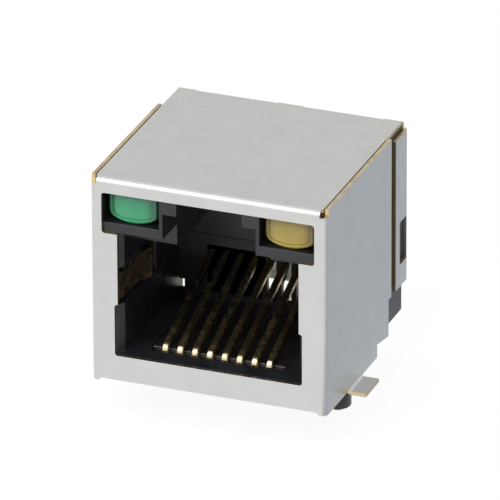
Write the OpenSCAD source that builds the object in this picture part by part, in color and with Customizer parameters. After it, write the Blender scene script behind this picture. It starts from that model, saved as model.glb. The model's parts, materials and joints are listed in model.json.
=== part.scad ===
// Shielded RJ45 board jack, latch side up, with two status lights.
// Surface mounted: eight contact feet and four light feet at the rear, one tab on
// each side and the stands of the two locating posts rest on the board.
// Frame: +X right, +Y towards the rear, +Z up. The origin is on the board's
// top face, half way between the two locating posts.
// Inside the modules, y = 0 is the shield's front face and z = 0 that face's lower edge.

/* [Shield] */
// Width over the side panels
shield_w = 16.0; // [15.6:0.1:17]
// Height of the front panel, from its lower edge to the top face
shield_h = 14.05; // [13.9:0.05:15]
// Depth from the front face to the rear face
shield_d = 15.15; // [15:0.05:17]
// Sheet thickness
sheet = 0.25; // [0.15:0.01:0.3]
// Outer radius of the folded corners
fold_r = 0.45; // [0.35:0.01:0.6]
// Gap along the seam between the top and each side panel
seam_gap = 0.08; // [0.04:0.01:0.15]
// Height of the front panel's lower edge above the board
board_gap = 0.5; // [0.46:0.01:0.6]
// How far the side panels reach below the front panel
side_drop = 0.2; // [0.1:0.02:0.3]
// Length of the slope in the front panel's lower edge at each corner
corner_l = 0.7; // [0.6:0.05:1]
// Height of the front panel above the opening
header_h = 1.02; // [0.9:0.02:1.2]
// Radius in the corners of the front opening
opening_r = 0.2; // [0.05:0.05:0.3]
// Set-back of the opening's edge from the cavity's walls above the mouth's chamfer
opening_margin = 0.2; // [0.1:0.05:0.3]

/* [Shield rear] */
// Distance from the side panel's rear edge to the rear face
side_inset = 3.7; // [3.2:0.05:4]
// How much further back the side panel's upper part reaches
side_step = 0.5; // [0.2:0.05:0.7]
// Height where the side panel steps back and the wing begins
wing_bottom = 2.95; // [2.5:0.05:4]
// Open gap between the side panel and the rear cover's wing
wing_gap = 0.8; // [0.5:0.05:1]
// Height of the rear cover's lower edge above the board
cover_lift = 1.9; // [1:0.05:2.2]
// Width of the rear cover below the wings
cover_w = 14.4; // [13:0.1:14.6]
// Width of each outer bridge of the top rear fold
bridge_w = 1.2; // [0.8:0.1:1.6]
// Width of the middle bridge of the top rear fold
mid_bridge_w = 1.7; // [1:0.1:2.5]
// Height of the latch window in each wing
window_h = 3.0; // [2:0.1:4]
// Height of the latch window's lower edge
window_z = 4.5; // [4:0.1:6]
// Depth of the latch window along the wing
window_l = 1.4; // [1:0.1:1.6]
// Length of the notch in the side panel's lower edge at its rear
notch_l = 2.1; // [1.5:0.1:3]
// Height of that notch
notch_h = 0.7; // [0.4:0.05:0.8]

/* [Board tabs and ground fingers] */
// Reach of each board tab from the side panel
tab_reach = 1.15; // [0.9:0.05:2]
// Width of each board tab
tab_w = 2.4; // [1.5:0.05:3]
// Front edge of each board tab, from the front face
tab_y = 4.15; // [2:0.05:5]
// Width of the relief cut on each side of a board tab's bend
tab_relief = 0.15; // [0.1:0.05:0.3]
// Height of each ground finger
finger_h = 2.0; // [1.5:0.1:2.2]
// Height of the ground finger's lower edge
finger_z = 5.44; // [5.4:0.02:5.8]
// Reach of the ground finger into the cavity at its crest
finger_crest = 0.55; // [0.3:0.05:0.7]
// Where the ground finger's flat part ends, from the front face
finger_flat = 3.2; // [2.8:0.1:3.6]
// Distance of the ground finger's crest from the front face
finger_crest_y = 4.6; // [4.2:0.1:5]
// Where the ground finger ends, from the front face
finger_l = 5.9; // [5.5:0.1:6.2]
// Clearance above, below and behind the ground finger
finger_gap = 0.25; // [0.15:0.05:0.3]

/* [Plug cavity] */
// Width of the plug cavity
cavity_w = 11.9; // [11.8:0.05:12.1]
// Height of the cavity floor
floor_z = 1.9; // [1.85:0.05:2.2]
// Height of the plug space under the shoulders
plug_h = 6.9; // [6.7:0.1:7.2]
// Depth of the plug space, from the front face
cavity_d = 10.0; // [9.5:0.1:10.4]
// Depth of the taller mouth in front of the shoulders
mouth_d = 2.8; // [1.5:0.1:4]
// Width of the mouth's chamfer
mouth_chamfer = 0.42; // [0.2:0.02:0.45]
// Fall of the mouth's lower lip
lip_drop = 0.18; // [0.1:0.02:0.3]
// Clearance between that lip and the foremost point of the contacts
lip_gap = 0.2; // [0.1:0.05:0.3]
// Width of the latch slot
latch_w = 6.3; // [6:0.1:6.4]
// Depth of the latch slot, from the front face
latch_d = 9.0; // [7:0.1:9.5]
// Reach of each catch block into the latch slot
catch_w = 0.95; // [0.6:0.05:1.2]
// Depth of each catch block
catch_d = 1.3; // [0.8:0.1:2]
// Height of each catch block
catch_h = 0.9; // [0.6:0.05:1.2]
// Distance of the latch slot's roof from the shield's top face
latch_cover = 1.15; // [1:0.05:1.4]

/* [Housing] */
// Clearance between the housing and the shield's side and top panels
shell_gap = 0.05; // [0.02:0.01:0.08]
// Clearance between each wing's window and the housing's latch wedge
latch_gap = 0.1; // [0.05:0.01:0.15]
// Wall round the open rear bay
bay_wall = 0.55; // [0.4:0.05:0.7]
// Thickness of the rear wall above the comb
back_wall = 0.9; // [0.6:0.05:1]
// Height of the housing's underside above the board
case_lift = 1.3; // [1:0.05:1.4]
// Radius of each locating post
post_r = 0.9; // [0.7:0.05:1]
// Length of each locating post below the board's top face
post_l = 2.35; // [1.8:0.05:3.2]
// Distance of each post's axis from the shield's side face
post_inset = 1.65; // [1.6:0.05:2]
// Distance of the posts from the front face
post_setback = 6.5; // [5:0.05:7]
// Height of the cone at the tip of each post
post_cone = 0.38; // [0.2:0.02:0.6]
// Radius of the flat end of each post
post_tip_r = 0.25; // [0.2:0.05:0.6]
// Radius of the stand at the root of each post
stand_r = 1.25; // [1:0.05:1.3]
// Thickness of the bar that joins the two stands and rests on the board
foot_bar_t = 1.2; // [0.8:0.1:2]

/* [Contacts] */
// Number of contacts
contact_n = 8; // [8]
// Distance between neighbouring contacts
contact_pitch = 1.016; // [1.0:0.004:1.02]
// Side of the square wire that the contacts are bent from
wire_t = 0.46; // [0.36:0.01:0.48]
// Height of the wire's axis in the carrier's grooves
wire_z = 1.35; // [1.3:0.01:1.4]
// Foremost point of the contact's front bend, from the front face
nose_y = 1.43; // [1.35:0.01:1.8]
// Rise of the spring above the horizontal
spring_angle = 20.6; // [17:0.1:21]
// Length of the spring end beyond the front of the comb
spring_tail = 0.8; // [0.6:0.05:1]
// Reach of the contact feet behind the shield
foot_reach = 0.6; // [0.3:0.05:1.2]
// Radius of the bends that take each contact and lead down to its foot, at the axis
drop_r = 0.5; // [0.3:0.05:0.55]
// Distance of the contacts' and leads' drop from the inside of the rear cover
drop_setback = 0.7; // [0.6:0.05:0.9]

/* [Contact carrier] */
// Width of the carrier's floor plate
carrier_w = 9.0; // [8.8:0.05:9.2]
// Clearance round the carrier
carrier_gap = 0.03; // [0.02:0.01:0.06]
// Thickness of the comb
comb_t = 0.45; // [0.35:0.05:0.6]
// Height of the comb above the cavity floor
comb_h = 4.4; // [4.2:0.1:5]
// Width of each slot in the comb
comb_slot = 0.66; // [0.56:0.02:0.72]
// Height of the sill under the comb's slots above the cavity floor
comb_sill = 0.4; // [0.2:0.05:0.6]
// Width of the notch in each lower corner of the comb
comb_notch_w = 0.45; // [0.3:0.05:0.6]
// Height of that notch above the cavity floor
comb_notch_h = 0.95; // [0.6:0.05:1.2]
// Width of the groove for each wire
groove_w = 0.5; // [0.48:0.01:0.56]

/* [Lights] */
// Width of each light
led_w = 3.4; // [3:0.05:3.5]
// Height of each light
led_h = 2.3; // [2:0.05:2.35]
// Length of each light
led_l = 5.6; // [4:0.1:6]
// Distance of each light's centre inwards from half way between the contacts and the side face
led_offset = 0.59; // [0.54:0.01:0.7]
// Depth of the shelf that each light lies on, below the shield's top face
shelf_drop = 3.15; // [3.05:0.05:3.25]
// Thickness of that shelf
shelf_t = 0.67; // [0.5:0.01:0.8]
// Radius of the light's rounded lower face
led_belly_r = 3.9; // [3:0.1:6]
// Radius of the light's domed front
led_dome_r = 4.2; // [3.5:0.1:6]
// Width of the pocket round each light
pocket_w = 3.8; // [3.6:0.05:3.9]
// Distance of each light's dome from the back of the front panel
led_front_gap = 0.1; // [0:0.05:0.3]
// Clearance above each light
led_gap = 0.06; // [0.03:0.01:0.1]
// Thickness of a light's square lead
lead_t = 0.45; // [0.4:0.01:0.5]
// Distance between the two leads of one light
lead_pitch = 1.27; // [1.2:0.01:1.5]
// Clearance round a lead in its channel and in its guide
lead_gap = 0.05; // [0.02:0.01:0.1]
// Height of the lower face of the lead guides
guide_z = 3.4; // [3:0.1:6]
// Height of each lead guide
guide_h = 1.0; // [0.6:0.1:1.5]
// Thickness of each lead guide in front of its leads
guide_t = 0.5; // [0.3:0.1:0.8]

/* [Hidden] */
$fn = 64;

eps = 0.01;
plated = [0.82, 0.83, 0.82];
black = [0.16, 0.17, 0.19];
insert_black = [0.12, 0.12, 0.13];
gold = [0.80, 0.68, 0.38];
tin = [0.72, 0.73, 0.72];
green = [0.16, 0.55, 0.36];
amber = [0.62, 0.52, 0.22];

// Shield planes
half_w = shield_w / 2;
inner_w = half_w - sheet;
inner_top = shield_h - sheet;
inner_rear = shield_d - sheet;
fold_in = fold_r - sheet;
board_z = -board_gap;
bend_z = board_z + fold_r;
top_half = inner_w - seam_gap;
side_end = shield_d - side_inset;
wing_y = side_end + side_step + wing_gap;
wing_top = shield_h - fold_r - seam_gap;
cover_z = board_z + cover_lift;
window_y = shield_d - fold_r / 2;

// Housing planes
case_half = inner_w - shell_gap;
case_top = inner_top - shell_gap;
case_front = sheet;
case_bottom = board_z + case_lift;
case_rear = inner_rear;
case_chamfer = fold_in + 0.02;
bay_y = cavity_d + back_wall;
cavity_half = cavity_w / 2;
ceiling_z = floor_z + plug_h;
contact_edge = (contact_n - 1) / 2 * contact_pitch + wire_t / 2;
led_x = (contact_edge + half_w) / 2 - led_offset;
shelf_z = shield_h - shelf_drop;
shelf_bottom = shelf_z - shelf_t;
pocket_roof = shelf_z + led_h + led_gap;
pocket_in = led_x - pocket_w / 2;
pocket_out = led_x + pocket_w / 2;
latch_roof = shield_h - latch_cover;
comb_top = floor_z + comb_h;

// Front opening of the shield
open_low_half = cavity_half + mouth_chamfer;
open_mid_half = cavity_half + opening_margin;
open_led_half = pocket_out;
open_bottom = floor_z - lip_drop;
open_top = shield_h - header_h;
finger_top = finger_z + finger_h;

// Contact path, in the YZ plane
wire_half = wire_t / 2;
nose_r = (floor_z - wire_z - wire_half) / 2 + wire_half;
nose_c = [nose_y + nose_r + wire_half, wire_z + nose_r];
spring_start = nose_c + nose_r * [-sin(spring_angle), cos(spring_angle)];
spring_len = (cavity_d + spring_tail - spring_start[0]) / cos(spring_angle);
foot_end = shield_d + foot_reach;
drop_y = inner_rear - drop_setback;
comb_slot_top = spring_start[1] + (cavity_d + comb_t - spring_start[0]) * tan(spring_angle)
    + wire_half / cos(spring_angle);

// Light leads
lead_z = shelf_z + led_h / 2;
led_front = case_front + led_front_gap;
led_back = led_front + led_l;

function contact_x(i) = (i - (contact_n + 1) / 2) * contact_pitch;

// ---- Helpers ----

module at_datum() translate([0, -post_setback, -board_z]) children();

module both_sides() {
    children();
    mirror([1, 0, 0]) children();
}

// Block from a low corner to a high corner
module block(low, high) translate(low) cube(high - low);

// Flat outline in the XZ plane, given thickness from y = 0 backwards
module upright(depth) translate([0, depth, 0]) rotate([90, 0, 0]) linear_extrude(depth) children();

// Flat outline in the YZ plane, given thickness from x = 0 to the right
module sideways(width) rotate([90, 0, 90]) linear_extrude(width) children();

// Quarter or other part turn of folded sheet about the Z axis, from +X towards +Y
module fold(height, angle = 90) rotate_extrude(angle = angle)
    translate([fold_in, 0]) square([sheet, height]);

// Rectangle with round corners, by its low and high corners
module round_rect(low, high, r) {
    square_size = high - low;
    translate(low + [r, 0]) square([square_size[0] - 2 * r, square_size[1]]);
    translate(low + [0, r]) square([square_size[0], square_size[1] - 2 * r]);
    for (x = [low[0] + r, high[0] - r], y = [low[1] + r, high[1] - r]) translate([x, y]) circle(r);
}

// Rectangle with cut corners, by its low and high corners
module chamfered(low, high, cut) polygon([
    low + [cut, 0], [high[0] - cut, low[1]], [high[0], low[1] + cut], high - [0, cut],
    high - [cut, 0], [low[0] + cut, high[1]], [low[0], high[1] - cut], low + [0, cut]
]);

// ---- Shield: one folded sheet ----

module front_opening() {
    round_rect([-open_low_half, open_bottom], [open_low_half, finger_z - finger_gap / 2], opening_r);
    translate([-open_mid_half, open_bottom + opening_r])
        square([2 * open_mid_half, shelf_bottom - open_bottom]);
    round_rect([-open_led_half, shelf_bottom], [open_led_half, open_top], opening_r);
}

module front_panel() upright(sheet) difference() {
    polygon([
        [corner_l - half_w, 0], [half_w - corner_l, 0], [half_w - fold_r, -side_drop],
        [half_w - fold_r, shield_h - fold_r], [fold_r - half_w, shield_h - fold_r],
        [fold_r - half_w, -side_drop]
    ]);
    front_opening();
}

// Right side panel, seen from the right: y runs back, z up
module side_outline() difference() {
    polygon([
        [fold_r, -side_drop], [side_end - notch_l, -side_drop], [side_end - notch_l, notch_h],
        [side_end, notch_h / 2], [side_end, wing_bottom], [side_end + side_step, wing_bottom],
        [side_end + side_step, shield_h], [fold_r, shield_h]
    ]);
    translate([tab_y - tab_relief, -side_drop - 1]) square([tab_w + 2 * tab_relief, 1 + side_drop + bend_z]);
}

module side_panel() {
    translate([inner_w, 0, 0]) sideways(sheet) side_outline();
    translate([half_w - fold_r, fold_r, -side_drop]) rotate([0, 0, -90])
        fold(shield_h - fold_r + side_drop);
}

// Bent out from the side panel's lower edge, flat on the board
module board_tab() translate([0, tab_y, 0]) {
    translate([half_w + fold_in, tab_w, bend_z]) rotate([90, 0, 0]) rotate([0, 0, 180]) fold(tab_w);
    block([half_w + fold_in, 0, board_z], [half_w + tab_reach, tab_w, board_z + sheet]);
}

// Spring finger folded in from the opening's edge, kinked towards the plug
module ground_finger() {
    root_x = open_mid_half;
    kink = [[0, fold_r], [0, finger_flat], [-finger_crest, finger_crest_y], [opening_margin / 2, finger_l]];
    translate([0, 0, finger_z]) {
        block([root_x + fold_r - eps, 0, 0], [root_x + fold_r + sheet, sheet, finger_h]);
        translate([root_x + fold_r, fold_r, 0]) rotate([0, 0, 180]) fold(finger_h);
        translate([root_x, 0, 0]) linear_extrude(finger_h)
            polygon(concat(kink, [for (i = [3:-1:0]) kink[i] + [sheet, 0]]));
    }
}

module top_panel() {
    block([-top_half, fold_r, inner_top], [top_half, shield_d - fold_r, shield_h]);
    translate([-half_w + fold_r, fold_r, shield_h - fold_r]) rotate([0, 90, 0]) rotate([0, 0, 180])
        fold(shield_w - 2 * fold_r);
}

// Bridges that carry the rear cover on the top panel
module rear_bridges() {
    for (x = [-top_half, -mid_bridge_w / 2, top_half - bridge_w]) {
        width = abs(x) < top_half - bridge_w ? mid_bridge_w : bridge_w;
        translate([x, shield_d - fold_r, shield_h - fold_r]) rotate([0, 90, 0]) rotate([0, 0, 90])
            fold(width);
    }
}

module rear_cover() {
    wing_fold_top = wing_top - wing_bottom;
    block([fold_r - half_w, inner_rear, wing_bottom], [half_w - fold_r, shield_d, shield_h - fold_r]);
    block([-cover_w / 2, inner_rear, cover_z], [cover_w / 2, shield_d, wing_bottom + eps]);
    both_sides() difference() {
        union() {
            translate([half_w - fold_r, shield_d - fold_r, wing_bottom]) fold(wing_fold_top);
            block([inner_w, wing_y, wing_bottom], [half_w, shield_d - fold_r, wing_top]);
        }
        block([inner_w - 1, window_y - window_l, window_z], [half_w + 1, window_y, window_z + window_h]);
    }
}

module shield() color(plated) at_datum() {
    front_panel();
    top_panel();
    rear_bridges();
    rear_cover();
    both_sides() {
        side_panel();
        board_tab();
        ground_finger();
    }
}

// ---- Housing: one black moulding ----

// Mouth of the plug cavity, chamfered all round
module cavity_mouth() intersection() {
    translate([0, 0, open_bottom]) linear_extrude(shelf_bottom - open_bottom) polygon([
        [-open_low_half, case_front - eps], [open_low_half, case_front - eps],
        [cavity_half, case_front + mouth_chamfer + 0.1], [cavity_half, mouth_d],
        [-cavity_half, mouth_d], [-cavity_half, case_front + mouth_chamfer + 0.1]
    ]);
    translate([-half_w, 0, 0]) sideways(shield_w) polygon([
        [case_front - eps, open_bottom], [nose_y - lip_gap, floor_z], [mouth_d, floor_z],
        [mouth_d, shelf_bottom], [case_front - eps, shelf_bottom]
    ]);
}

module latch_slot() difference() {
    block([-latch_w / 2, -1, ceiling_z - eps], [latch_w / 2, latch_d, latch_roof]);
    both_sides() block([latch_w / 2 - catch_w, case_front, latch_roof - catch_h],
        [latch_w / 2 + 1, case_front + catch_d, latch_roof + 1]);
}

// Pocket for a light, with a channel for its leads to the rear bay
module led_pocket() {
    block([pocket_in, -1, shelf_z], [pocket_out, led_back, pocket_roof]);
    channel_half = lead_pitch / 2 + lead_t / 2 + lead_gap;
    channel_h = lead_t / 2 + lead_gap;
    block([led_x - channel_half, led_back - 1, lead_z - channel_h],
        [led_x + channel_half, bay_y + 1, lead_z + channel_h]);
}

// Recess along the cavity wall and window through it behind the ground finger
module finger_window() {
    low = finger_z - finger_gap;
    high = finger_top + finger_gap;
    block([cavity_half - 1, case_front - 1, low],
        [open_mid_half + sheet + finger_gap, mouth_d + eps, high]);
    block([cavity_half - 1, mouth_d, low], [half_w, finger_l + finger_gap, high]);
    block([cavity_half, case_front - 1, low],
        [open_mid_half + fold_r + finger_gap, fold_r + finger_gap, high]);
}

module rear_bay() block([bay_wall - case_half, bay_y, case_bottom - 1],
    [case_half - bay_wall, case_rear + 1, pocket_roof]);

module carrier_seat() {
    seat_half = carrier_w / 2 + carrier_gap;
    block([-seat_half, nose_y - lip_gap, case_bottom - 1], [seat_half, bay_y + 1, floor_z + eps]);
    block([-cavity_half, cavity_d - eps, floor_z], [cavity_half, bay_y + 1, comb_top + carrier_gap]);
}

// Wedge that the wing's window snaps over
module latch_bump() {
    rear = window_y - latch_gap - fold_r;
    front = window_y - window_l + latch_gap;
    translate([0, 0, window_z + latch_gap]) linear_extrude(window_h - 2 * latch_gap)
        polygon([[case_half - 1, front], [half_w, front], [case_half, rear], [case_half - 1, rear]]);
}

// Post with a cone at its tip, below the stand that holds the housing off the board
module locating_post() translate([half_w - post_inset, post_setback, board_z]) {
    cylinder(h = case_lift + case_chamfer, r = stand_r);
    translate([0, 0, post_cone - post_l]) cylinder(h = post_l - post_cone + eps, r = post_r);
    translate([0, 0, -post_l]) cylinder(h = post_cone, r1 = post_tip_r, r2 = post_r);
}

// Bar from stand to stand under the contact carrier, flat on the board
module foot_bar() block([post_inset - half_w, post_setback - foot_bar_t / 2, board_z],
    [half_w - post_inset, post_setback + foot_bar_t / 2, case_bottom]);

// Bar across each side of the rear bay, notched for the two leads of a light
module lead_guide() difference() {
    notch = lead_t + 2 * lead_gap;
    block([led_x - lead_pitch / 2 - notch, drop_y - notch / 2 - guide_t, guide_z],
        [case_half - bay_wall / 2, case_rear, guide_z + guide_h]);
    for (x = [led_x - lead_pitch / 2, led_x + lead_pitch / 2])
        block([x - notch / 2, drop_y - notch / 2, guide_z - 1],
            [x + notch / 2, case_rear + 1, guide_z + guide_h + 1]);
}

// Outer block, chamfered to clear the inside of the shield's folds
module case_block() intersection() {
    block([-case_half, case_front, case_bottom], [case_half, case_rear, case_top]);
    linear_extrude(shield_h)
        chamfered([-case_half, case_front], [case_half, case_rear], case_chamfer);
    translate([-half_w, 0, 0]) sideways(shield_w)
        chamfered([case_front, case_bottom - 1], [case_rear, case_top], case_chamfer);
}

module housing() color(black) at_datum() {
    difference() {
        case_block();
        cavity_mouth();
        block([-cavity_half, mouth_d - eps, floor_z], [cavity_half, cavity_d, ceiling_z]);
        latch_slot();
        rear_bay();
        carrier_seat();
        both_sides() {
            led_pocket();
            finger_window();
        }
    }
    both_sides() {
        locating_post();
        latch_bump();
        lead_guide();
    }
    foot_bar();
}

// ---- Contact carrier: grooved floor plate with the comb at its rear ----

module contact_carrier() color(insert_black) at_datum() {
    half = carrier_w / 2;
    lip_y = nose_c[0];
    groove_top = wire_z + wire_half;
    difference() {
        union() {
            block([-half, lip_y, case_bottom], [half, bay_y, floor_z]);
            block([-cavity_half + carrier_gap, cavity_d, floor_z],
                [cavity_half - carrier_gap, cavity_d + comb_t, comb_top]);
            translate([-half, lip_y, nose_c[1]]) rotate([0, 90, 0])
                cylinder(h = carrier_w, r = nose_r - wire_half);
        }
        for (i = [1:contact_n]) translate([contact_x(i), 0, 0]) {
            block([-groove_w / 2, 0, case_bottom - 1], [groove_w / 2, bay_y + 1, groove_top]);
            block([-comb_slot / 2, cavity_d - 1, floor_z + comb_sill],
                [comb_slot / 2, cavity_d + comb_t + 1, comb_slot_top]);
        }
        both_sides() block([cavity_half - comb_notch_w, cavity_d - 1, floor_z - 1],
            [cavity_half + 1, cavity_d + comb_t + 1, floor_z + comb_notch_h]);
    }
}

// ---- Contacts: square wire, from the foot along the groove and round the nose to the spring ----

// Straight square bar of a side length, from the local origin towards +Y
module bar_run(side, length) translate([-side / 2, 0, -side / 2]) cube([side, length, side]);

// Part turn of a square bar in the YZ plane round the local origin, from angle a0 to a0 + a
module bar_bend(side, r, a0, a) rotate([90, 0, 90]) rotate([0, 0, a0])
    rotate_extrude(angle = a) translate([r, 0]) square(side, center = true);

// Bar back to the rear, down behind the housing, and out as a foot on the board
module tail(side, start_y, top_z) {
    half = side / 2;
    foot_z = board_z + half;
    translate([0, start_y, top_z]) bar_run(side, drop_y - drop_r - start_y);
    translate([0, drop_y - drop_r, top_z - drop_r]) bar_bend(side, drop_r, 0, 90);
    block([-half, drop_y - half, foot_z + drop_r], [half, drop_y + half, top_z - drop_r]);
    translate([0, drop_y + drop_r, foot_z + drop_r]) bar_bend(side, drop_r, 180, 90);
    translate([0, drop_y + drop_r, foot_z]) bar_run(side, foot_end - drop_y - drop_r);
}

module contact(i) color(gold) at_datum() translate([contact_x(i), 0, 0]) {
    tail(wire_t, nose_c[0], wire_z);
    translate([0, nose_c[0], nose_c[1]]) bar_bend(wire_t, nose_r, 90 + spring_angle, 180 - spring_angle);
    translate([0, spring_start[0], spring_start[1]]) rotate([spring_angle, 0, 0])
        bar_run(wire_t, spring_len);
}

// ---- Lights ----

module led_body() {
    centre_z = shelf_z + led_h / 2;
    translate([led_x, 0, 0]) intersection() {
        translate([0, led_front, 0]) upright(led_l) intersection() {
            translate([-led_w / 2, shelf_z]) square([led_w, led_h]);
            translate([0, shelf_z + led_belly_r]) circle(led_belly_r);
        }
        translate([0, led_front + led_dome_r, centre_z]) {
            sphere(led_dome_r);
            rotate([-90, 0, 0]) cylinder(h = led_l, r = led_dome_r);
        }
    }
}

// Square lead of a light
module led_lead(x) color(tin) at_datum() translate([x, 0, 0]) tail(lead_t, led_back, lead_z);

module led_green() color(green) at_datum() mirror([1, 0, 0]) led_body();
module led_yellow() color(amber) at_datum() led_body();

shield();
housing();
contact_carrier();
for (i = [1:contact_n]) contact(i);
led_green();
led_yellow();
led_lead(-led_x - lead_pitch / 2);  // green_anode
led_lead(-led_x + lead_pitch / 2);  // green_cathode
led_lead(led_x + lead_pitch / 2);  // yellow_anode
led_lead(led_x - lead_pitch / 2);  // yellow_cathode
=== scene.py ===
"""Dressed scene of a shielded board jack with two lights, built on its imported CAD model.

Every length is in metres, in the frame of the CAD model: +X right, +Y towards the
rear, +Z up from the board's top face. Sizes that repeat the source's are written
in millimetres in the classes below and turned into metres by MM.
"""

from __future__ import annotations

import json
import logging
import math
from dataclasses import dataclass
from enum import Enum

import bpy
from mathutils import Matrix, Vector

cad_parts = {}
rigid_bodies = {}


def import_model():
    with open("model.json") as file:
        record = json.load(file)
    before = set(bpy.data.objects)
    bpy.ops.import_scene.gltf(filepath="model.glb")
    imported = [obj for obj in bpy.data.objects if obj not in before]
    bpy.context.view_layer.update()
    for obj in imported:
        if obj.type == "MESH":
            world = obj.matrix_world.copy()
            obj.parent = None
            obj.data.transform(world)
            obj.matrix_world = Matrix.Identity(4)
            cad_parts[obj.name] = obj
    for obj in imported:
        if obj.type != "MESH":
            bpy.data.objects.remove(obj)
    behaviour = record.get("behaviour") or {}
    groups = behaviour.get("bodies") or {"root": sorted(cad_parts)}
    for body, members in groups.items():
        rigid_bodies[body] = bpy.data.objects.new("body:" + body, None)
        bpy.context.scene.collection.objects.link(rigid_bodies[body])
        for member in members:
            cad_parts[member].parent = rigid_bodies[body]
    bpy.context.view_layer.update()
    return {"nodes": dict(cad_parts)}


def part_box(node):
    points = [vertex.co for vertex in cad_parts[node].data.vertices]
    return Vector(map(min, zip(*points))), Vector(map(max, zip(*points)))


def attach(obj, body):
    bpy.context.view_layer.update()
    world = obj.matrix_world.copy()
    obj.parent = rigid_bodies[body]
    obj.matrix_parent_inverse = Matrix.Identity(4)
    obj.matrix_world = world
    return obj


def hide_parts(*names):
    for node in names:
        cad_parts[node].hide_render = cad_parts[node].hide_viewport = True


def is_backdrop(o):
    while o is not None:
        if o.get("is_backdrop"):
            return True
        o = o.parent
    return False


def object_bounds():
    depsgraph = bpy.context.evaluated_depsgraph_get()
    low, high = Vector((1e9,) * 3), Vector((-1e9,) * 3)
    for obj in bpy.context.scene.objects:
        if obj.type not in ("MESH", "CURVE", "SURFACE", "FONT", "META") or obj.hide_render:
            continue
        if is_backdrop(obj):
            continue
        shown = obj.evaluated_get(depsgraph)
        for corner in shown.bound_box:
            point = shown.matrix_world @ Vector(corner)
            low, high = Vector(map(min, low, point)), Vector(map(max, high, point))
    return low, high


MM = 0.001
BODY = "root"
SEAM_GAP = 0.0005 * MM
FLAT_ANGLE = math.radians(0.4)
KEYS_PER_METRE = 1e7
TINY = 1e-9
Colour = tuple[float, float, float]
Span = tuple[float, float]

log = logging.getLogger("board_jack")


class SheetFace(Enum):
    """What a face of the folded shield is, by its material slot."""

    PLATED = 0
    CUT_EDGE = 1
    SPRING = 2


# ---- Node building ----


class NodeSheet:
    """A node tree with short calls to add and join its nodes."""

    def __init__(self, tree: bpy.types.NodeTree) -> None:
        """Keep the tree to build in.

        Args:
            tree: the node tree of a material, world or group.
        """
        self.tree = tree

    def add(self, kind: str, **values: object) -> bpy.types.Node:
        """Add a node and set its properties and unlinked inputs.

        Args:
            kind: the node's type name.
            **values: properties of the node, or inputs named with underscores
                for spaces. An output socket given as a value is linked.

        Returns:
            The new node.
        """
        node = self.tree.nodes.new(kind)
        for name, value in values.items():
            if hasattr(node, name) and name not in ("inputs", "outputs"):
                setattr(node, name, value)
                continue
            self.feed(node, name.replace("_", " "), value)
        return node

    def feed(self, node: bpy.types.Node, socket: str | int, value: object) -> None:
        """Give one input its value, or link an output to it.

        Args:
            node: the node whose input is fed.
            socket: the input's name or number.
            value: a plain value or an output socket.
        """
        target = node.inputs[socket]
        if isinstance(value, bpy.types.NodeSocket):
            self.tree.links.new(value, target)
        elif isinstance(value, tuple) and len(value) == 3 and target.type == "RGBA":
            target.default_value = (*value, 1.0)
        else:
            target.default_value = value

    def maths(self, operation: str, *values: object) -> bpy.types.NodeSocket:
        """Add a Math node.

        Args:
            operation: the node's operation, such as MULTIPLY.
            *values: its inputs in order.

        Returns:
            The node's result.
        """
        node = self.tree.nodes.new("ShaderNodeMath")
        node.operation = operation
        for number, value in enumerate(values):
            self.feed(node, number, value)
        return node.outputs[0]

    def noise(self, place: object, size: float, detail: float = 2.0) -> bpy.types.NodeSocket:
        """Add a Noise texture.

        Args:
            place: the coordinates' socket.
            size: the size of its largest features, in metres.
            detail: the number of finer layers.

        Returns:
            The noise value.
        """
        node = self.add("ShaderNodeTexNoise", Vector=place, Scale=1.0 / size, Detail=detail)
        return node.outputs["Fac"]

    def remap(self, value: object, low: object, high: object, start: float = 0.0,
              end: float = 1.0) -> bpy.types.NodeSocket:
        """Stretch a value from one range to another, clamped.

        Args:
            value: the socket to stretch.
            low: the result at the start of the range.
            high: the result at the end of the range.
            start: the start of the range.
            end: the end of the range.

        Returns:
            The stretched value.
        """
        node = self.tree.nodes.new("ShaderNodeMapRange")
        for name, item in (("Value", value), ("From Min", start), ("From Max", end),
                           ("To Min", low), ("To Max", high)):
            self.feed(node, name, item)
        return node.outputs["Result"]

    def blend(self, share: object, first: object, second: object) -> bpy.types.NodeSocket:
        """Mix two colours.

        Args:
            share: the share of the second colour.
            first: the first colour.
            second: the second colour.

        Returns:
            The mixed colour.
        """
        node = self.tree.nodes.new("ShaderNodeMix")
        node.data_type = "RGBA"
        self.feed(node, 0, share)
        self.feed(node, 6, first)
        self.feed(node, 7, second)
        return node.outputs[2]


def new_group(name: str, inputs: dict[str, tuple[str, object]],
              outputs: dict[str, str]) -> tuple[bpy.types.NodeTree, NodeSheet]:
    """Make an empty shader node group with named sockets.

    Args:
        name: the group's name.
        inputs: each input's name with its socket type and default.
        outputs: each output's name with its socket type.

    Returns:
        The group and the sheet to build in it.
    """
    tree = bpy.data.node_groups.new(name, "ShaderNodeTree")
    for label, (kind, default) in inputs.items():
        socket = tree.interface.new_socket(label, in_out="INPUT", socket_type=kind)
        socket.default_value = default
    for label, kind in outputs.items():
        tree.interface.new_socket(label, in_out="OUTPUT", socket_type=kind)
    return tree, NodeSheet(tree)


@dataclass(frozen=True)
class TextureSizes:
    """Sizes of the largest features in each texture, in millimetres."""

    grain: float = 0.09
    clouds: float = 1.6
    waves: float = 4.5
    pits: float = 0.11
    flow: float = 2.2
    specks: float = 0.07
    patches: float = 0.7
    scratches: float = 0.06


SIZES = TextureSizes()


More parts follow.
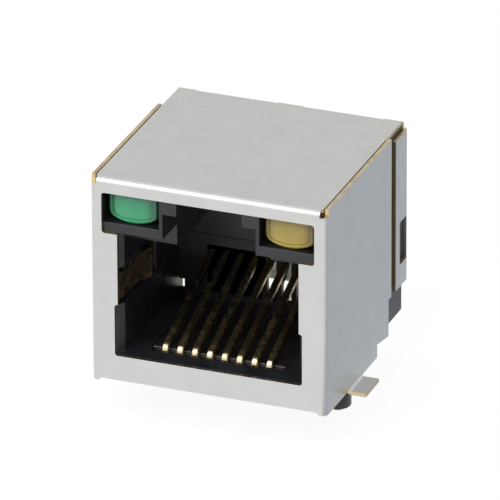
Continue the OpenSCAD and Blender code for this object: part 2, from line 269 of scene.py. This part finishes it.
class Effects:
    """The node groups that more than one finish uses, each built once."""

    GRAIN_STRETCH = (1.0, 0.35, 0.35)
    SPECK_SPAN = (0.66, 0.78)
    PATCH_SPAN = (0.42, 0.68)

    def __init__(self) -> None:
        """Build the groups."""
        self.rolled = self._rolled_sheet()
        self.moulded = self._moulded_skin()
        self.tarnish = self._tarnish()

    @staticmethod
    def _rolled_sheet() -> bpy.types.NodeTree:
        """Build the fine grain and slow waviness of rolled and plated sheet.

        Returns:
            The group.
        """
        tree, sheet = new_group(
            "rolled_sheet",
            {"Place": ("NodeSocketVector", (0.0, 0.0, 0.0)), "Grain": ("NodeSocketFloat", 1.0),
             "Waves": ("NodeSocketFloat", 1.0)},
            {"Height": "NodeSocketFloat", "Grain Mask": "NodeSocketFloat",
             "Cloud Mask": "NodeSocketFloat"})
        entry, leave = sheet.add("NodeGroupInput"), sheet.add("NodeGroupOutput")
        place = entry.outputs["Place"]
        stretched = sheet.add("ShaderNodeVectorMath", operation="MULTIPLY")
        sheet.feed(stretched, 0, place)
        sheet.feed(stretched, 1, Effects.GRAIN_STRETCH)
        grain = sheet.noise(stretched.outputs[0], SIZES.grain * MM, 3.0)
        clouds = sheet.noise(place, SIZES.clouds * MM, 3.0)
        waves = sheet.noise(place, SIZES.waves * MM, 1.0)
        fine = sheet.maths("MULTIPLY", grain, entry.outputs["Grain"])
        slow = sheet.maths("MULTIPLY", waves, entry.outputs["Waves"])
        sheet.feed(leave, "Height", sheet.maths("ADD", fine, slow))
        sheet.feed(leave, "Grain Mask", grain)
        sheet.feed(leave, "Cloud Mask", clouds)
        return tree

    @staticmethod
    def _moulded_skin() -> bpy.types.NodeTree:
        """Build the skin of a moulding: a fine spark-eroded texture and flow marks.

        Returns:
            The group.
        """
        tree, sheet = new_group(
            "moulded_skin",
            {"Place": ("NodeSocketVector", (0.0, 0.0, 0.0)), "Flow": ("NodeSocketFloat", 0.4)},
            {"Height": "NodeSocketFloat", "Flow Mask": "NodeSocketFloat",
             "Speck Mask": "NodeSocketFloat"})
        entry, leave = sheet.add("NodeGroupInput"), sheet.add("NodeGroupOutput")
        place = entry.outputs["Place"]
        pits = sheet.add("ShaderNodeTexVoronoi", Vector=place, Scale=1.0 / (SIZES.pits * MM))
        flow = sheet.noise(place, SIZES.flow * MM, 3.0)
        specks = sheet.noise(place, SIZES.specks * MM, 2.0)
        level = sheet.maths("MULTIPLY", flow, entry.outputs["Flow"])
        sheet.feed(leave, "Height", sheet.maths("ADD", pits.outputs["Distance"], level))
        sheet.feed(leave, "Flow Mask", flow)
        sheet.feed(leave, "Speck Mask", sheet.remap(specks, 0.0, 1.0, *Effects.SPECK_SPAN))
        return tree

    @staticmethod
    def _tarnish() -> bpy.types.NodeTree:
        """Build soft patches where bare or thinly plated metal has dulled.

        Returns:
            The group.
        """
        tree, sheet = new_group(
            "tarnish",
            {"Place": ("NodeSocketVector", (0.0, 0.0, 0.0)), "Amount": ("NodeSocketFloat", 0.5)},
            {"Mask": "NodeSocketFloat", "Height": "NodeSocketFloat"})
        entry, leave = sheet.add("NodeGroupInput"), sheet.add("NodeGroupOutput")
        place = entry.outputs["Place"]
        clouds = sheet.noise(place, SIZES.patches * MM, 4.0)
        patches = sheet.remap(clouds, 0.0, 1.0, *Effects.PATCH_SPAN)
        sheet.feed(leave, "Mask", sheet.maths("MULTIPLY", patches, entry.outputs["Amount"]))
        sheet.feed(leave, "Height", sheet.noise(place, SIZES.scratches * MM, 2.0))
        return tree


def new_material(name: str) -> tuple[bpy.types.Material, NodeSheet, bpy.types.Node, object]:
    """Make a material with a Principled shader and the object's own coordinates.

    Args:
        name: the material's name.

    Returns:
        The material, the sheet to build in it, its shader and the coordinates.
    """
    material = bpy.data.materials.new(name)
    material.use_nodes = True
    sheet = NodeSheet(material.node_tree)
    shader = material.node_tree.nodes["Principled BSDF"]
    place = sheet.add("ShaderNodeTexCoord").outputs["Object"]
    return material, sheet, shader, place


def use_group(sheet: NodeSheet, tree: bpy.types.NodeTree, **values: object) -> bpy.types.Node:
    """Place a node group in a material.

    Args:
        sheet: the material's sheet.
        tree: the group.
        **values: the group's inputs, with underscores for spaces.

    Returns:
        The group's node.
    """
    node = sheet.add("ShaderNodeGroup", node_tree=tree)
    for name, value in values.items():
        sheet.feed(node, name.replace("_", " "), value)
    return node


def raise_surface(sheet: NodeSheet, shader: bpy.types.Node, height: object, depth: float,
                  strength: float = 1.0) -> None:
    """Feed a height to the shader's normal.

    Args:
        sheet: the material's sheet.
        shader: the material's shader.
        height: the height's socket.
        depth: the height of a full step, in metres.
        strength: the strength of the bump.
    """
    bump = sheet.add("ShaderNodeBump", Height=height, Distance=depth, Strength=strength)
    sheet.feed(shader, "Normal", bump.outputs["Normal"])


# ---- Finishes ----


@dataclass(frozen=True)
class PlatedSheet:
    """Satin tin or nickel plate on rolled sheet."""

    name: str
    light: Colour
    dark: Colour
    roughness: float = 0.34
    roughness_spread: float = 0.06
    grain: float = 0.5
    waves: float = 3.0
    cloud_share: float = 0.7
    grain_share: float = 0.3
    cloud_span: Span = (0.3, 0.7)
    grain_span: Span = (0.35, 0.65)
    bump_depth: float = 0.004
    bump_strength: float = 0.5

    def build(self, effects: Effects) -> bpy.types.Material:
        """Build the material.

        Args:
            effects: the shared node groups.

        Returns:
            The material.
        """
        material, sheet, shader, place = new_material(self.name)
        rolled = use_group(sheet, effects.rolled, Place=place, Grain=self.grain, Waves=self.waves)
        clouds, grain = rolled.outputs["Cloud Mask"], rolled.outputs["Grain Mask"]
        tone = sheet.remap(clouds, 0.0, self.cloud_share, *self.cloud_span)
        streaks = sheet.remap(grain, 0.0, self.grain_share, *self.grain_span)
        fine = sheet.maths("ADD", tone, streaks)
        sheet.feed(shader, "Base Color", sheet.blend(fine, self.light, self.dark))
        shader.inputs["Metallic"].default_value = 1.0
        rough = sheet.remap(grain, self.roughness - self.roughness_spread,
                            self.roughness + self.roughness_spread, *self.cloud_span)
        sheet.feed(shader, "Roughness", rough)
        raise_surface(sheet, shader, rolled.outputs["Height"], self.bump_depth * MM,
                      self.bump_strength)
        return material


@dataclass(frozen=True)
class BareMetal:
    """Bare or gold-coloured metal: cut edges, contact wire and leads."""

    name: str
    light: Colour
    dark: Colour
    roughness: float = 0.28
    dulling: float = 0.18
    tarnish: float = 0.6
    bump_depth: float = 0.002
    bump_strength: float = 0.4

    def build(self, effects: Effects) -> bpy.types.Material:
        """Build the material.

        Args:
            effects: the shared node groups.

        Returns:
            The material.
        """
        material, sheet, shader, place = new_material(self.name)
        dull = use_group(sheet, effects.tarnish, Place=place, Amount=self.tarnish)
        mask = dull.outputs["Mask"]
        sheet.feed(shader, "Base Color", sheet.blend(mask, self.light, self.dark))
        shader.inputs["Metallic"].default_value = 1.0
        rough = sheet.remap(mask, self.roughness, self.roughness + self.dulling)
        sheet.feed(shader, "Roughness", rough)
        raise_surface(sheet, shader, dull.outputs["Height"], self.bump_depth * MM,
                      self.bump_strength)
        return material


@dataclass(frozen=True)
class MouldedPlastic:
    """Glossy black plastic as it leaves the mould."""

    name: str
    base: Colour
    worn: Colour
    roughness: float = 0.3
    smoother: float = 0.08
    rougher: float = 0.1
    flow: float = 1.5
    flow_share: float = 0.6
    tone_span: Span = (0.35, 0.7)
    rough_span: Span = (0.3, 0.7)
    refraction: float = 1.52
    bump_depth: float = 0.004
    bump_strength: float = 0.35

    def build(self, effects: Effects) -> bpy.types.Material:
        """Build the material.

        Args:
            effects: the shared node groups.

        Returns:
            The material.
        """
        material, sheet, shader, place = new_material(self.name)
        skin = use_group(sheet, effects.moulded, Place=place, Flow=self.flow)
        flow, specks = skin.outputs["Flow Mask"], skin.outputs["Speck Mask"]
        tone = sheet.remap(flow, 0.0, self.flow_share, *self.tone_span)
        dusty = sheet.maths("MAXIMUM", tone, specks)
        sheet.feed(shader, "Base Color", sheet.blend(dusty, self.base, self.worn))
        rough = sheet.remap(flow, self.roughness - self.smoother,
                            self.roughness + self.rougher, *self.rough_span)
        sheet.feed(shader, "Roughness", rough)
        shader.inputs["IOR"].default_value = self.refraction
        raise_surface(sheet, shader, skin.outputs["Height"], self.bump_depth * MM,
                      self.bump_strength)
        return material


@dataclass(frozen=True)
class TintedResin:
    """Clear tinted resin of a light: random cloudy tone, darker towards its left and right sides,
    painted shade at its top and painted light at its bottom.
    """

    name: str
    rim: Colour
    # Painted shade: the lens's top colour, darker as if the panel above shaded it.
    shaded_top_tint: Colour
    # Painted light: the lens's bottom colour, lighter as if lit from below the panel.
    light_tone: Colour
    node: str
    roughness: float = 0.12
    flow: float = 1.0
    edge_span: Span = (0.9, 1.7)
    cloud_share: float = 0.35
    cloud_span: Span = (0.3, 0.7)
    refraction: float = 1.5
    scatter: float = 0.35
    scatter_radius: Colour = (0.6, 0.6, 0.6)
    scatter_scale: float = 1.0
    coat: float = 0.6
    coat_roughness: float = 0.04
    bump_depth: float = 0.001
    bump_strength: float = 0.2

    def build(self, effects: Effects) -> bpy.types.Material:
        """Build the material.

        Args:
            effects: the shared node groups.

        Returns:
            The material.
        """
        material, sheet, shader, place = new_material(self.name)
        low_corner, high_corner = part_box(self.node)
        middle = (low_corner.x + high_corner.x) / 2
        split = sheet.add("ShaderNodeSeparateXYZ", Vector=place)
        across = sheet.maths("ABSOLUTE", sheet.maths("SUBTRACT", split.outputs["X"], middle))
        edge = sheet.remap(across, 0.0, 1.0, *(end * MM for end in self.edge_span))
        # Painted shade and light: the lighter colour's share is 1 at the lens's bottom and 0 at
        # its top, so the top is painted shaded and the bottom painted lit; the cloud adds random
        # tone.
        low = sheet.remap(split.outputs["Z"], 1.0, 0.0, low_corner.z, high_corner.z)
        skin = use_group(sheet, effects.moulded, Place=place, Flow=self.flow)
        cloud = sheet.remap(skin.outputs["Flow Mask"], 0.0, self.cloud_share, *self.cloud_span)
        body = sheet.blend(sheet.maths("ADD", low, cloud), self.shaded_top_tint, self.light_tone)
        sheet.feed(shader, "Base Color", sheet.blend(edge, body, self.rim))
        shader.inputs["Roughness"].default_value = self.roughness
        shader.inputs["IOR"].default_value = self.refraction
        shader.inputs["Subsurface Weight"].default_value = self.scatter
        shader.inputs["Subsurface Radius"].default_value = self.scatter_radius
        shader.inputs["Subsurface Scale"].default_value = self.scatter_scale * MM
        shader.inputs["Coat Weight"].default_value = self.coat
        shader.inputs["Coat Roughness"].default_value = self.coat_roughness
        raise_surface(sheet, shader, skin.outputs["Height"], self.bump_depth * MM,
                      self.bump_strength)
        return material


class Finishes:
    """Every finish of the jack, built once."""

    def __init__(self) -> None:
        """Build the materials."""
        effects = Effects()
        self.plate = PlatedSheet("plated_sheet", (0.66, 0.66, 0.645),
                                 (0.60, 0.605, 0.60)).build(effects)
        self.cut_edge = BareMetal("sheet_cut_edge", (0.66, 0.54, 0.33), (0.42, 0.31, 0.16),
                                  0.3).build(effects)
        self.spring = BareMetal("sheet_spring_finger", (0.80, 0.70, 0.50), (0.62, 0.50, 0.32),
                                0.24).build(effects)
        self.black = MouldedPlastic("black_moulding", (0.014, 0.015, 0.018), (0.026, 0.027, 0.032),
                                    0.3).build(effects)
        self.insert = MouldedPlastic("black_insert", (0.012, 0.011, 0.012), (0.026, 0.022, 0.022),
                                     0.36).build(effects)
        self.wire = BareMetal("contact_wire", (0.78, 0.64, 0.40), (0.52, 0.38, 0.20),
                              0.22).build(effects)
        self.tin = BareMetal("tinned_lead", (0.78, 0.78, 0.77), (0.56, 0.56, 0.55),
                             0.3).build(effects)
        # In each resin, the second colour is painted shade at the lens's top and the third is
        # painted light at its bottom.
        self.green = TintedResin("green_resin", (0.010, 0.10, 0.05), (0.012, 0.19, 0.085),
                                 (0.03, 0.36, 0.17), "led_green").build(effects)
        self.yellow = TintedResin("yellow_resin", (0.13, 0.10, 0.02), (0.25, 0.19, 0.035),
                                  (0.46, 0.34, 0.05), "led_yellow").build(effects)


# ---- Shared mesh work ----


def soften(piece: bpy.types.Object, width: float, segments: int = 2, angle: float = 32.0,
           merge_flats: bool = True) -> None:
    """Join the mesh's split seams, merge its flat faces and round its sharp edges.

    Args:
        piece: the CAD node's object.
        width: the width of the rounding, in metres.
        segments: the steps across it.
        angle: the least angle of an edge that is rounded, in degrees.
        merge_flats: whether flat faces are merged first.
    """
    mesh = piece.data
    if "custom_normal" in mesh.attributes:
        mesh.attributes.remove(mesh.attributes["custom_normal"])
    mesh.shade_smooth()
    weld = piece.modifiers.new("join_seams", "WELD")
    weld.merge_threshold = SEAM_GAP
    if merge_flats:
        flat = piece.modifiers.new("merge_flats", "DECIMATE")
        flat.decimate_type = "DISSOLVE"
        flat.angle_limit = FLAT_ANGLE
        flat.delimit = {"MATERIAL"}
    bevel = piece.modifiers.new("round_edges", "BEVEL")
    bevel.width = width
    bevel.segments = segments
    bevel.limit_method = "ANGLE"
    bevel.angle_limit = math.radians(angle)
    bevel.use_clamp_overlap = True
    bevel.harden_normals = True
    bevel.miter_outer = "MITER_ARC"


def put_on(piece: bpy.types.Object, *materials: bpy.types.Material) -> None:
    """Give a piece its materials.

    Args:
        piece: the object.
        *materials: its materials, in the order of its slots.
    """
    piece.data.materials.clear()
    for material in materials:
        piece.data.materials.append(material)


def new_piece(name: str, points: list[Vector], faces: list[list[int]],
              material: bpy.types.Material) -> bpy.types.Object:
    """Make a smooth object from points and faces.

    Args:
        name: the piece's name.
        points: its points, in metres.
        faces: its faces, by the points' numbers.
        material: its material.

    Returns:
        The new object.
    """
    mesh = bpy.data.meshes.new(name)
    mesh.from_pydata([tuple(p) for p in points], [], faces)
    mesh.validate()
    mesh.shade_smooth()
    piece = bpy.data.objects.new(name, mesh)
    bpy.context.scene.collection.objects.link(piece)
    put_on(piece, material)
    return piece


class SmoothRegions:
    """Groups the faces of a mesh into smooth regions, across its split seams."""

    def __init__(self, mesh: bpy.types.Mesh, angle: float = 35.0) -> None:
        """Group the faces.

        Args:
            mesh: the mesh, whose points at sharp edges may be double.
            angle: the least angle between two regions, in degrees.
        """
        self.mesh = mesh
        self.parent = list(range(len(mesh.polygons)))
        limit = math.cos(math.radians(angle))
        keys = [tuple(round(c * KEYS_PER_METRE) for c in v.co) for v in mesh.vertices]
        shared: dict[frozenset, list[tuple[int, float]]] = {}
        for face in mesh.polygons:
            ring = list(face.vertices)
            for a, b in zip(ring, ring[1:] + ring[:1]):
                length = (mesh.vertices[a].co - mesh.vertices[b].co).length
                shared.setdefault(frozenset((keys[a], keys[b])), []).append((face.index, length))
        self.border: dict[int, float] = {}
        outer = []
        for uses in shared.values():
            joined = False
            if len(uses) == 2:
                first, second = (mesh.polygons[u[0]] for u in uses)
                joined = first.normal.dot(second.normal) > limit
                if joined:
                    self._join(uses[0][0], uses[1][0])
            if not joined:
                outer.extend(uses)
        for index, length in outer:
            root = self.root(index)
            self.border[root] = self.border.get(root, 0.0) + length
        self.area: dict[int, float] = {}
        for face in mesh.polygons:
            root = self.root(face.index)
            self.area[root] = self.area.get(root, 0.0) + face.area

    def root(self, index: int) -> int:
        """Give the number that stands for a face's region."""
        while self.parent[index] != index:
            self.parent[index] = self.parent[self.parent[index]]
            index = self.parent[index]
        return index

    def _join(self, first: int, second: int) -> None:
        """Put two faces in one region."""
        self.parent[self.root(first)] = self.root(second)

    def width(self, index: int) -> float:
        """Estimate the width of the region that a face is in.

        Args:
            index: the face's number.

        Returns:
            The region's mean width, in metres.
        """
        root = self.root(index)
        return 2.0 * self.area[root] / max(self.border.get(root, 0.0), TINY)


# ---- Sub-assemblies ----


@dataclass
class Shield:
    """The folded sheet shield with its board tabs and spring fingers."""

    sheet: float = 0.25
    sheet_slack: float = 0.01
    finger_reach: float = 6.42
    finger_low: float = 5.9
    finger_high: float = 8.0
    finger_front: float = -6.4
    finger_rear: float = -0.4
    edge_round: float = 0.035

    def dress(self, nodes: dict[str, bpy.types.Object], finishes: Finishes) -> None:
        """Plate the sheet, leave its cut edges bare and round its edges.

        Args:
            nodes: the CAD nodes by name.
            finishes: the finishes.
        """
        piece = nodes["shield"]
        put_on(piece, finishes.plate, finishes.cut_edge, finishes.spring)
        regions = SmoothRegions(piece.data)
        for face in piece.data.polygons:
            face.material_index = self._face_kind(face, regions).value
        soften(piece, self.edge_round * MM)
        log.info("shield: %d faces plated and edged", len(piece.data.polygons))

    def _face_kind(self, face: bpy.types.MeshPolygon, regions: SmoothRegions) -> SheetFace:
        """Say what a face of the shield is.

        Args:
            face: the face.
            regions: the shield's smooth regions.

        Returns:
            The kind of face.
        """
        if regions.width(face.index) <= (self.sheet + self.sheet_slack) * MM:
            return SheetFace.CUT_EDGE
        place = face.center / MM
        inside = abs(place.x) < self.finger_reach and self.finger_low < place.z < self.finger_high
        if inside and self.finger_front < place.y < self.finger_rear:
            return SheetFace.SPRING
        return SheetFace.PLATED


@dataclass
class Housing:
    """The black moulding with its posts, shelves and rear bay."""

    edge_round: float = 0.05

    def dress(self, nodes: dict[str, bpy.types.Object], finishes: Finishes) -> None:
        """Give the moulding its skin and round its edges.

        Args:
            nodes: the CAD nodes by name.
            finishes: the finishes.
        """
        put_on(nodes["housing"], finishes.black)
        soften(nodes["housing"], self.edge_round * MM, merge_flats=False)
        log.info("housing: dressed")


@dataclass
class ContactCarrier:
    """The grooved insert that holds the contacts, with the comb at its rear."""

    edge_round: float = 0.03

    def dress(self, nodes: dict[str, bpy.types.Object], finishes: Finishes) -> None:
        """Give the insert its skin and round its edges.

        Args:
            nodes: the CAD nodes by name.
            finishes: the finishes.
        """
        put_on(nodes["contact_carrier"], finishes.insert)
        soften(nodes["contact_carrier"], self.edge_round * MM)
        log.info("contact carrier: dressed")


@dataclass
class ContactSet:
    """The eight spring contacts."""

    count: int = 8
    edge_round: float = 0.13

    def dress(self, nodes: dict[str, bpy.types.Object], finishes: Finishes) -> None:
        """Round each wire's section and give it its metal.

        Args:
            nodes: the CAD nodes by name.
            finishes: the finishes.
        """
        for number in range(1, self.count + 1):
            piece = nodes[f"contact_{number}"]
            put_on(piece, finishes.wire)
            soften(piece, self.edge_round * MM, segments=3, angle=50.0)
        log.info("contacts: %d dressed", self.count)


@dataclass
class Lights:
    """The two lights: domed lenses with a rim, and their square leads."""

    width: float = 3.4
    height: float = 2.3
    length: float = 5.6
    belly_r: float = 3.9
    dome_r: float = 4.2
    corner_power: float = 16.0
    rim_width: float = 0.16
    rim_step: float = 0.05
    groove_inset: float = 2.0
    groove_width: float = 0.4
    around: int = 96
    rings: int = 26
    ring_bias: float = 1.6
    lead_round: float = 0.05
    leads: tuple[str, ...] = ("green_anode", "green_cathode", "yellow_anode", "yellow_cathode")

    def build(self, nodes: dict[str, bpy.types.Object], finishes: Finishes) -> None:
        """Build both lenses and dress the leads.

        Args:
            nodes: the CAD nodes by name.
            finishes: the finishes.
        """
        for colour, finish in (("green", finishes.green), ("yellow", finishes.yellow)):
            lens = self._lens(colour, finish)
            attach(lens, BODY)
            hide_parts(f"led_{colour}")
            log.info("%s: %d faces", lens.name, len(lens.data.polygons))
        for name in self.leads:
            put_on(nodes[name], finishes.tin)
            soften(nodes[name], self.lead_round * MM, segments=2, angle=50.0)

    def _reach(self, angle: float) -> float:
        """Give the outline's distance from the lens's centre.

        Args:
            angle: the direction in the XZ plane, in radians from +X.

        Returns:
            The distance, in millimetres.
        """
        cos, sin = math.cos(angle), math.sin(angle)
        half_w, half_h = self.width / 2, self.height / 2
        rise = self.belly_r - half_h
        walls = [half_w / max(abs(cos), 1e-6), half_h / max(sin, 1e-6)]
        belly = math.sqrt(rise * rise * sin * sin + self.belly_r ** 2 - rise ** 2)
        walls.append(rise * sin + belly)
        return sum(w ** -self.corner_power for w in walls) ** (-1 / self.corner_power)

    def _depth(self, share: float, radius: float) -> float:
        """Give how far behind its foremost point the lens's face lies.

        Args:
            share: the share of the way from the centre to the outline.
            radius: the distance from the centre, in millimetres.

        Returns:
            The depth, in millimetres.
        """
        dome = self.dome_r - math.sqrt(self.dome_r ** 2 - radius ** 2)
        reach = radius / max(share, 1e-6)
        from_edge = reach - radius
        from_groove = from_edge - self.groove_inset * self.rim_width
        groove = math.exp(-(from_groove / (self.groove_width * self.rim_width)) ** 2)
        turn = max(0.0, 1.0 - from_edge / self.rim_width)
        shoulder = self.rim_width * (1.0 - math.sqrt(max(0.0, 1.0 - turn * turn)))
        return dome + self.rim_step * groove + shoulder

    def _lens(self, colour: str, finish: bpy.types.Material) -> bpy.types.Object:
        """Build one lens: a domed face with a rolled rim, straight sides and a flat back.

        Args:
            colour: the light's colour, which names its CAD node.
            finish: its resin.

        Returns:
            The lens.
        """
        low, high = (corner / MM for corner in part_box(f"led_{colour}"))
        centre = Vector(((low.x + high.x) / 2, low.y, (low.z + high.z) / 2))
        angles = [2 * math.pi * n / self.around for n in range(self.around)]
        points = [centre * MM]
        for ring in range(1, self.rings + 1):
            share = 1.0 - (1.0 - ring / self.rings) ** self.ring_bias
            for angle in angles:
                radius = self._reach(angle) * share
                point = Vector((radius * math.cos(angle), self._depth(share, radius),
                                radius * math.sin(angle)))
                points.append((centre + point) * MM)
        for angle in angles:
            radius = self._reach(angle)
            points.append((centre + Vector((radius * math.cos(angle), self.length,
                                            radius * math.sin(angle)))) * MM)
        points.append((centre + Vector((0.0, self.length, 0.0))) * MM)
        return new_piece(f"{colour}_lens_body", points, self._ring_faces(self.rings + 1), finish)

    def _ring_faces(self, rings: int) -> list[list[int]]:
        """List the faces between a first point, rings of points and a last point.

        Args:
            rings: the number of rings.

        Returns:
            The faces, by the points' numbers.
        """
        count, last = self.around, 1 + self.around * rings
        faces = []
        for n in range(count):
            after = (n + 1) % count
            faces.append([0, 1 + n, 1 + after])
            for ring in range(rings - 1):
                low, high = 1 + ring * count, 1 + (ring + 1) * count
                faces.append([low + n, high + n, high + after, low + after])
            end = 1 + (rings - 1) * count
            faces.append([end + n, last, end + after])
        return faces


# ---- Studio ----


@dataclass
class Studio:
    """Camera, lamps, floor and surroundings."""

    azimuth: float = 21.03
    elevation: float = 25.08
    roll: float = -0.23
    distance: float = 619.6
    target: tuple[float, float, float] = (2.88, -6.5, 11.16)
    lens: float = 707.5
    sensor: float = 36.0
    floor_half: float = 3.0
    floor_share: float = 0.88
    white: float = 1.06
    sky: float = 0.62
    floor_grey: Colour = (0.86, 0.86, 0.86)
    floor_roughness: float = 0.9
    near: float = 0.05
    far: float = 20.0
    side_card: Colour = (0.54, 0.57, 0.61)
    side_card_x: Span = (9.2, 120.0)
    side_card_y: Span = (-12.0, 160.0)
    side_card_lift: float = 0.05
    top_card: Colour = (0.80, 0.80, 0.79)
    top_card_x: Span = (-200.0, 120.0)
    top_card_z: Span = (12.0, 220.0)
    top_card_y: float = 120.0
    aim: tuple[float, float, float] = (0.0, 0.0, 0.006)

    def build(self) -> None:
        """Build the whole studio."""
        self._camera()
        self._world()
        self._floor()
        self._cards()
        self._lamps()
        bpy.context.scene.view_settings.view_transform = "Standard"
        log.info("studio: built")

    def _camera(self) -> None:
        """Place the camera at the set azimuth and elevation."""
        data = bpy.data.cameras.new("studio_camera")
        data.sensor_width = self.sensor
        data.lens = self.lens
        data.clip_start = self.near
        data.clip_end = self.far
        camera = bpy.data.objects.new("studio_camera", data)
        bpy.context.scene.collection.objects.link(camera)
        az, el = math.radians(self.azimuth), math.radians(self.elevation)
        away = Vector((math.sin(az) * math.cos(el), -math.cos(az) * math.cos(el), math.sin(el)))
        camera.location = (Vector(self.target) + away * self.distance) * MM
        turn = (-away).to_track_quat("-Z", "Y").to_matrix().to_4x4()
        from_roll = turn @ turn.Rotation(math.radians(self.roll), 4, "Z")
        camera.rotation_euler = from_roll.to_euler()
        bpy.context.scene.camera = camera

    @staticmethod
    def _seen(sheet: NodeSheet) -> bpy.types.NodeSocket:
        """Give 1 for camera, glossy and transmission rays, and 0 for others.

        Args:
            sheet: the node tree.

        Returns:
            The socket.
        """
        path = sheet.add("ShaderNodeLightPath").outputs
        shown = sheet.maths("MAXIMUM", path["Is Camera Ray"], path["Is Glossy Ray"])
        return sheet.maths("MAXIMUM", shown, path["Is Transmission Ray"])

    def _world(self) -> None:
        """White surroundings that light the jack at a plain level."""
        world = bpy.data.worlds.new("studio_world")
        bpy.context.scene.world = world
        world.use_nodes = True
        sheet = NodeSheet(world.node_tree)
        back = world.node_tree.nodes["Background"]
        back.inputs["Color"].default_value = (1.0, 1.0, 1.0, 1.0)
        sheet.feed(back, "Strength", sheet.remap(self._seen(sheet), self.sky, 1.0))

    def _floor(self) -> None:
        """A white floor at the posts' tips, which keeps a faint shadow."""
        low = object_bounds()[0][2]
        half = self.floor_half
        corners = [Vector((x, y, low)) for x, y in ((-half, -half), (half, -half), (half, half),
                                                    (-half, half))]
        material, sheet, shader, _ = new_material("pale_floor")
        shader.inputs["Base Color"].default_value = (*self.floor_grey, 1.0)
        shader.inputs["Roughness"].default_value = self.floor_roughness
        shader.inputs["Specular IOR Level"].default_value = 0.0
        white = sheet.add("ShaderNodeEmission", Color=(1.0, 1.0, 1.0), Strength=self.white)
        mix = sheet.add("ShaderNodeMixShader")
        sheet.feed(mix, 0, sheet.maths("MULTIPLY", self._seen(sheet), self.floor_share))
        sheet.feed(mix, 1, shader.outputs[0])
        sheet.feed(mix, 2, white.outputs[0])
        sheet.feed(material.node_tree.nodes["Material Output"], "Surface", mix.outputs[0])
        floor = new_piece("studio_floor", corners, [[0, 1, 2, 3]], material)
        floor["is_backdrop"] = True

    def _cards(self) -> None:
        """Lay a grey card beside the jack and stand one behind it, seen by reflections alone."""
        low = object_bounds()[0][2] + self.side_card_lift * MM
        (west, east), (south, north) = self.side_card_x, self.side_card_y
        lying = [Vector((x * MM, y * MM, low))
                 for x, y in ((west, south), (east, south), (east, north), (west, north))]
        (west, east), (foot, top) = self.top_card_x, self.top_card_z
        standing = [Vector((x, self.top_card_y, z)) * MM
                    for x, z in ((west, foot), (east, foot), (east, top), (west, top))]
        for name, corners, colour in (("side_card", lying, self.side_card),
                                      ("top_card", standing, self.top_card)):
            material, sheet, _, _ = new_material(name)
            light_tone = sheet.add("ShaderNodeEmission", Color=colour)
            sheet.feed(material.node_tree.nodes["Material Output"], "Surface", light_tone.outputs[0])
            card = new_piece(name, corners, [[0, 1, 2, 3]], material)
            for ray in ("camera", "diffuse", "transmission", "shadow", "volume_scatter"):
                setattr(card, f"visible_{ray}", False)
            card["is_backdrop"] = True

    @staticmethod
    def _lamp(name: str, place: Colour, aim: Colour, size: float, power: float) -> None:
        """Hang one square soft lamp.

        Args:
            name: its name.
            place: where it hangs, in metres.
            aim: the point that it faces.
            size: its side.
            power: its power, in watts.
        """
        data = bpy.data.lights.new(name, "AREA")
        data.size = size
        data.energy = power
        lamp = bpy.data.objects.new(name, data)
        bpy.context.scene.collection.objects.link(lamp)
        lamp.location = place
        lamp.rotation_euler = (Vector(aim) - Vector(place)).to_track_quat("-Z", "Y").to_euler()

    def _lamps(self) -> None:
        """Hang the key lamp and a small one for the lenses' highlights."""
        self._lamp("key_lamp", (-0.16, -0.22, 0.26), self.aim, 0.16, 0.42)
        self._lamp("small_lamp", (0.02, -0.20, 0.22), self.aim, 0.03, 0.10)


def main() -> None:
    """Build the scene in order and report each piece."""
    logging.basicConfig(level=logging.INFO, format="%(name)s: %(message)s")
    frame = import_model()
    nodes = frame["nodes"]
    Studio().build()
    finishes = Finishes()
    for part in (Shield(), Housing(), ContactCarrier(), ContactSet()):
        part.dress(nodes, finishes)
    Lights().build(nodes, finishes)


if __name__ == "__main__":
    main()
